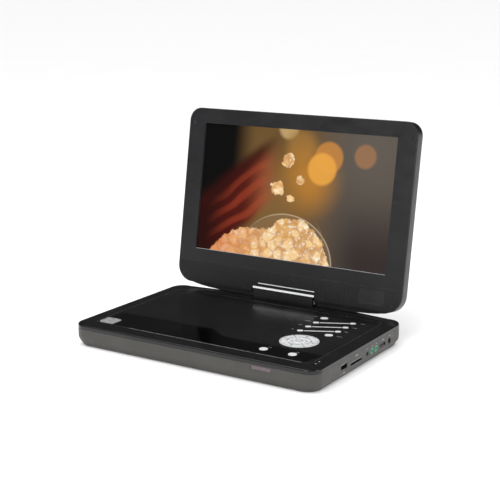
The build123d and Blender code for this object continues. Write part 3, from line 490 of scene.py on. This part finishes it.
def opening_highlight():
    """Painted highlight: a fine lighter band round the deck's opening where light would catch its arris,
    and a brighter painted highlight run along its front.
    """
    gap, corner, wide = 0.4, 7.4, 0.35
    line_left, line_right, line_wide = -87, 124, 0.55
    half_x, half_y = PANEL_HIGH.x / MM + gap, PANEL_HIGH.y / MM + gap
    mesh = bmesh.new()
    inner = round_loop(half_x, half_y, corner)
    outer = round_loop(half_x + wide, half_y + wide, corner + wide)
    place = deck_place(0.004)
    for i in range(len(inner)):
        j = (i + 1) % len(inner)
        corners = [place(*point, 0) for point in (inner[i], outer[i], outer[j], inner[j])]
        mesh.faces.new([mesh.verts.new(corner) for corner in corners])
    bmesh.ops.remove_doubles(mesh, verts=mesh.verts, dist=1e-6)
    piece("opening_highlight", mesh, "base", "grille_black", look=LOOKS["edge"])
    # painted highlight: a silver strip along the opening's front
    mesh = bmesh.new()
    prism(mesh, rectangle(line_left, line_right, -half_y - line_wide, -half_y), deck_place(0.006), 0.02)
    piece("front_highlight", mesh, "base", "badge_silver")


def deck_place(height):
    """Place function for flat pieces lying this far above the top shell's face, in millimetres."""
    return lambda x, y, d: Vector((x * MM, y * MM, TOP + (height + d) * MM))


def wall_place(x, z, d):
    """On the right wall: x runs along the wall to the back."""
    return Vector((WALL_X + (0.01 + d) * MM, x * MM, z * MM))


def dashes(mesh, x, y, place, widths, tall, gap=0.45):
    """A row of plain dashes centred on a point, where print would be."""
    at = x - (sum(widths) + gap * (len(widths) - 1)) / 2
    for width in widths:
        prism(mesh, rectangle(at, at + width, y - tall / 2, y + tall / 2), place, PRINT_T)
        at += width + gap


def key_marks():
    """Plain marks beside the keys, on the panel and on the strip."""
    mesh = bmesh.new()
    for x, y, widths in ((61.0, 44.4, (0.9, 1.5, 0.7, 1.2, 1.0)), (117.4, 64.4, (1.3, 0.8, 1.4)),
                         (61.4, 27.6, (1.4, 0.7, 1.2)), (117.0, 46.6, (0.8, 1.3, 0.9, 1.0)),
                         (62.0, 9.6, (1.2, 0.8)), (116.0, 29.4, (1.0, 1.4, 0.8)),
                         (117.4, 11.2, (1.1, 0.8, 1.3, 0.9, 0.7)), (60.4, 63.4, (1.1, 0.8, 1.2))):
        dashes(mesh, x, y, deck_place(0.01), widths, 1.0)
    for x, y, widths in ((75.0, -57.6, (0.9, 0.7, 1.2)), (106.8, -57.4, (1.2, 0.8, 0.9))):
        dashes(mesh, x, y, deck_place(0.11), widths, 0.9)
    return piece("key_marks", mesh, "base", "badge_silver")


def port_marks():
    """Plain marks over the sockets and under the first one."""
    mesh = bmesh.new()
    for y, z, widths in ((-13.4, 17.2, (1.4, 0.9, 1.6, 1.0)), (10.9, 17.4, (0.9, 0.9)),
                         (22.2, 17.4, (1.2, 0.8)), (32.0, 17.4, (0.9, 1.2)),
                         (47.2, 17.4, (1.0, 1.4, 0.9)), (63.4, 17.4, (1.3, 0.8)),
                         (-40.1, 6.6, (0.8, 1.6, 0.8))):
        dashes(mesh, y, z, wall_place, widths, 0.9)
    return piece("port_marks", mesh, "base", "badge_silver")


def arc(radius, half_thick, start, end, steps=14):
    """Outline of a bent band about the pad's centre, angles in degrees."""
    outline = []
    for r, order in ((radius - half_thick, range(steps + 1)), (radius + half_thick, range(steps, -1, -1))):
        for i in order:
            a = math.radians(start + (end - start) * i / steps)
            outline.append((r * math.cos(a), r * math.sin(a)))
    return outline


def pad_marks():
    """Two dark lines and an arrow on each quarter of the direction ring, and a ring on the middle key."""
    low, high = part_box("ok_key")
    cx, cy = (low.x + high.x) / 2 / MM, (low.y + high.y) / 2 / MM
    proud = (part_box("up_key")[1].z - TOP) / MM + MARK_GAP
    arrow_foot, arrow_tip, arrow_half = 14.9, 17.7, 1.6
    ring_r, ring_half, ring_steps = 3.6, 0.3, 28
    for name, turn in (("right", 0), ("up", 90), ("left", 180), ("down", 270)):
        mesh = bmesh.new()
        cos, sin = math.cos(math.radians(turn)), math.sin(math.radians(turn))

        def place(x, y, d, cos=cos, sin=sin):
            return Vector(((cx + x * cos - y * sin) * MM, (cy + x * sin + y * cos) * MM,
                           TOP + (proud + d) * MM))
        for radius, half_thick, reach in ((12.6, 0.42, 34), (19.2, 0.22, 40)):
            prism(mesh, arc(radius, half_thick, -reach, reach), place, PAD_LINE_T)
        arrow = [(arrow_foot, -arrow_half), (arrow_tip, 0.0), (arrow_foot, arrow_half)]
        prism(mesh, arrow, place, PAD_LINE_T)
        piece(name + "_mark", mesh, name + "_key", "jack_black")
    mesh = bmesh.new()
    height = (high.z - TOP) / MM + MARK_GAP
    prism(mesh, arc(ring_r, ring_half, 0, 360, ring_steps)[:-1], lambda x, y, d: Vector(
        ((cx + x) * MM, (cy + y) * MM, TOP + (height + d) * MM)), PAD_LINE_T)
    piece("ok_mark", mesh, "ok_key", "jack_black")


def parting_shadow():
    """Painted shadow: a black band at the bottom of the groove between the two shells."""
    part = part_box("lower_shell")[1].z / MM
    inset, corner, depth, lap = 0.1, 14.9, 0.52, 0.02
    loop = round_loop(WALL_X / MM - inset, -BASE_LOW.y / MM - inset, corner)
    mesh = bmesh.new()
    rows = [[mesh.verts.new(Vector((x * MM, y * MM, z * MM))) for x, y in loop]
            for z in (part - depth, part + lap)]
    for i in range(len(loop)):
        j = (i + 1) % len(loop)
        mesh.faces.new((rows[0][i], rows[0][j], rows[1][j], rows[1][i]))
    piece("parting_shadow_band", mesh, "base", "jack_black")


def window_recess_shade():
    """Painted shade: a dark border on the remote control's window, inside its recess."""
    low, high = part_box("ir_window")
    x0, x1, z0, z1 = low.x / MM, high.x / MM, low.z / MM, high.z / MM
    border, end, proud, thick = 0.4, 0.9, 0.06, 0.05
    mesh = bmesh.new()
    for outline in (rectangle(x0, x1, z1 - border, z1), rectangle(x0, x1, z0, z0 + border),
                    rectangle(x0, x0 + end, z0 + border, z1 - border),
                    rectangle(x1 - end, x1, z0 + border, z1 - border)):
        prism(mesh, outline, lambda x, z, d: Vector((x * MM, low.y - (proud - d) * MM, z * MM)), thick)
    piece("window_recess_shade", mesh, "base", "jack_black")


lower_band_ribs()
display_lip_highlight()
opening_highlight()
window_recess_shade()
parting_shadow()
key_marks()
port_marks()
pad_marks()


# ---------------------------------------------------------------- stage, lights and camera
def shade(name, colour, rough):
    """Faintly uneven matt surface for the floor."""
    s = Shader(name)
    s.set(Base_Color=s.mix(s.remap(s.noise(3, 4), 0.3, 0.7), colour, tuple(c * 0.985 for c in colour)),
          Roughness=rough)
    return s.material


def stage():
    half, thick = 40.0, 0.01
    mesh = bmesh.new()
    prism(mesh, rectangle(-half, half, -half, half), lambda x, y, d: Vector((x, y, -d)), thick)
    data = bpy.data.meshes.new("floor")
    bmesh.ops.recalc_face_normals(mesh, faces=mesh.faces)
    mesh.to_mesh(data)
    mesh.free()
    floor = bpy.data.objects.new("floor", data)
    bpy.context.scene.collection.objects.link(floor)
    data.materials.append(shade("floor", (0.88, 0.88, 0.88), 0.95))


def lamp(name, spot, aim, size, power):
    """A square soft light: place and aim in metres, side in metres, power in watts."""
    data = bpy.data.lights.new(name, "AREA")
    data.energy = power
    data.size = size
    made = bpy.data.objects.new(name, data)
    made.location = spot
    made.rotation_euler = (Vector(aim) - Vector(spot)).to_track_quat("-Z", "Y").to_euler()
    bpy.context.scene.collection.objects.link(made)


def world():
    """White to the camera, an even fill on matt surfaces, and dim in reflections."""
    fill, backdrop, mirrored = 1.2, 1.05, 0.05
    sky = bpy.data.worlds.new("studio")
    bpy.context.scene.world = sky
    sky.use_nodes = True
    tree = sky.node_tree
    plain = tree.nodes["Background"]
    plain.inputs["Color"].default_value = (1, 1, 1, 1)
    plain.inputs["Strength"].default_value = fill
    white = tree.nodes.new("ShaderNodeBackground")
    white.inputs["Color"].default_value = (1, 1, 1, 1)
    white.inputs["Strength"].default_value = backdrop
    dim = tree.nodes.new("ShaderNodeBackground")
    dim.inputs["Strength"].default_value = mirrored
    path = tree.nodes.new("ShaderNodeLightPath")
    glossy = tree.nodes.new("ShaderNodeMixShader")
    camera = tree.nodes.new("ShaderNodeMixShader")
    tree.links.new(path.outputs["Is Glossy Ray"], glossy.inputs[0])
    tree.links.new(plain.outputs[0], glossy.inputs[1])
    tree.links.new(dim.outputs[0], glossy.inputs[2])
    tree.links.new(path.outputs["Is Camera Ray"], camera.inputs[0])
    tree.links.new(glossy.outputs[0], camera.inputs[1])
    tree.links.new(white.outputs[0], camera.inputs[2])
    tree.links.new(camera.outputs[0], tree.nodes["World Output"].inputs["Surface"])


def view():
    data = bpy.data.cameras.new("camera")
    data.sensor_width = 36.0
    data.lens = 81.241
    data.clip_end = 120
    camera = bpy.data.objects.new("camera", data)
    camera.location = (0.636218, -0.986689, 0.377876)
    aim = Vector((0.06515, -0.0802, 0.12856))
    camera.rotation_euler = (aim - camera.location).to_track_quat("-Z", "Y").to_euler()
    bpy.context.scene.collection.objects.link(camera)
    bpy.context.scene.camera = camera


stage()
world()
# glossy surfaces don't mirror the lit display
nodes["lcd_panel"].visible_glossy = False
lamp("overhead", (-0.35, -0.45, 1.3), (0, 0, 0.05), 1.3, 10.0)
lamp("front", (0.25, -2.2, 0.85), (0, 0, 0.12), 0.7, 14.0)
lamp("right", (1.7, 0.1, 0.8), (0, 0, 0.05), 0.7, 8.0)
view()
bpy.context.scene.view_settings.view_transform = "Standard"
